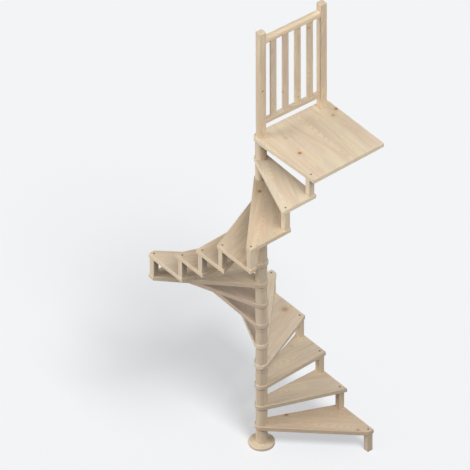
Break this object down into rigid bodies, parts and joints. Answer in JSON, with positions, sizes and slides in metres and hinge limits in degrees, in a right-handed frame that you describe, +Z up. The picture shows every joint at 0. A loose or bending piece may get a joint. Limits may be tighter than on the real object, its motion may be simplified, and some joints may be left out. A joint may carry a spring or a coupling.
{
  "type": "spiral staircase",
  "caption": "Square-plan wooden spiral stair: winder treads on a turned column with square step posts, up to a square landing with a short balustrade.",
  "frame": {"origin": "on the floor, on the axis of the column, at the centre of the foot disc's underside", "axes": "+Z up along the column; the landing fills the quarter between +X and +Y; the treads climb counter-clockwise seen from above"},
  "size_m": [1.184, 1.184, 3.802],
  "materials": {
    "boards": "planed and sanded, unfinished",
    "column": "turned and sanded, unfinished",
    "posts": "planed, unfinished",
    "rails": "planed, unfinished"
  },
  "bodies": {
    "root": {"baluster_1": "rails", "baluster_2": "rails", "baluster_3": "rails", "baluster_4": "rails", "base_disc": "column", "bottom_rail": "rails", "column_spacers": "column", "far_post": "posts", "handrail": "rails", "landing": "boards", "newel_post": "posts", "step_post_01": "posts", "step_post_02": "posts", "step_post_03": "posts", "step_post_04": "posts", "step_post_05": "posts", "step_post_06": "posts", "step_post_07": "posts", "step_post_08": "posts", "step_post_09": "posts", "step_post_10": "posts", "step_post_11": "posts", "step_post_12": "posts", "step_post_13": "posts", "step_post_14": "posts", "step_post_15": "posts", "tread_01": "boards", "tread_02": "boards", "tread_03": "boards", "tread_04": "boards", "tread_05": "boards", "tread_06": "boards", "tread_07": "boards", "tread_08": "boards", "tread_09": "boards", "tread_10": "boards", "tread_11": "boards", "tread_12": "boards", "tread_13": "boards", "tread_14": "boards"}
  },
  "joints": []
}
